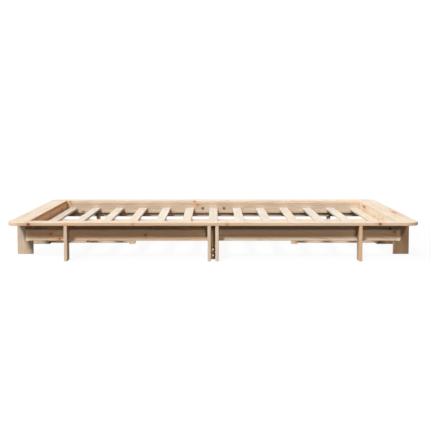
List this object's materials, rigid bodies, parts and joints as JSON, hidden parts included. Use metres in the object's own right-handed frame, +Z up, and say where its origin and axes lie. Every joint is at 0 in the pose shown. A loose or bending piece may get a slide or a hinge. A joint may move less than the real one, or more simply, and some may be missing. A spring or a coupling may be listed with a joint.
{
  "type": "bed frame",
  "caption": "Low solid-wood platform bed frame with a flat rounded rim, plank legs set across recessed rails, and a slat deck for a mattress.",
  "frame": {"origin": "on the floor, under the middle of the bed", "axes": "+X along the bed's length, +Y across it, +Z up; the two long sides are at -Y and +Y"},
  "size_m": [2.226, 1.626, 0.21],
  "materials": {
    "rim_pine": "planed and sanded solid pine, uncoated, matt",
    "rail_pine": "planed solid pine, uncoated, matt",
    "leg_pine": "planed solid pine, uncoated, matt, end grain at top and bottom",
    "slat_pine": "sawn and lightly planed pine slats, pale, matt",
    "support_pine": "planed solid pine, uncoated, matt",
    "bolt_zinc": "zinc-plated steel"
  },
  "bodies": {
    "root": {"centre_beam": "support_pine", "ledger_back": "support_pine", "ledger_front": "support_pine", "leg_back_centre_left": "leg_pine", "leg_back_centre_right": "leg_pine", "leg_back_left": "leg_pine", "leg_back_right": "leg_pine", "leg_front_centre_left": "leg_pine", "leg_front_centre_right": "leg_pine", "leg_front_left": "leg_pine", "leg_front_right": "leg_pine", "leg_left_back": "leg_pine", "leg_left_centre_back": "leg_pine", "leg_left_centre_front": "leg_pine", "leg_left_front": "leg_pine", "leg_right_back": "leg_pine", "leg_right_centre_back": "leg_pine", "leg_right_centre_front": "leg_pine", "leg_right_front": "leg_pine", "post_centre": "support_pine", "post_left": "support_pine", "post_right": "support_pine", "rail_back_left": "rail_pine", "rail_back_right": "rail_pine", "rail_front_left": "rail_pine", "rail_front_right": "rail_pine", "rail_left_back": "rail_pine", "rail_left_front": "rail_pine", "rail_right_back": "rail_pine", "rail_right_front": "rail_pine", "rim_back_left": "rim_pine", "rim_back_right": "rim_pine", "rim_front_left": "rim_pine", "rim_front_right": "rim_pine", "rim_left_back": "rim_pine", "rim_left_front": "rim_pine", "rim_right_back": "rim_pine", "rim_right_front": "rim_pine", "slat_01": "slat_pine", "slat_02": "slat_pine", "slat_03": "slat_pine", "slat_04": "slat_pine", "slat_05": "slat_pine", "slat_06": "slat_pine", "slat_07": "slat_pine", "slat_08": "slat_pine", "slat_09": "slat_pine", "slat_10": "slat_pine", "slat_11": "slat_pine", "slat_12": "slat_pine", "slat_13": "slat_pine", "stretcher_cross": "support_pine", "stretcher_left": "support_pine", "stretcher_right": "support_pine", "web_back": "leg_pine", "web_bolt_lower": "bolt_zinc", "web_bolt_upper": "bolt_zinc", "web_front": "leg_pine", "web_left": "leg_pine", "web_right": "leg_pine"}
  },
  "joints": []
}
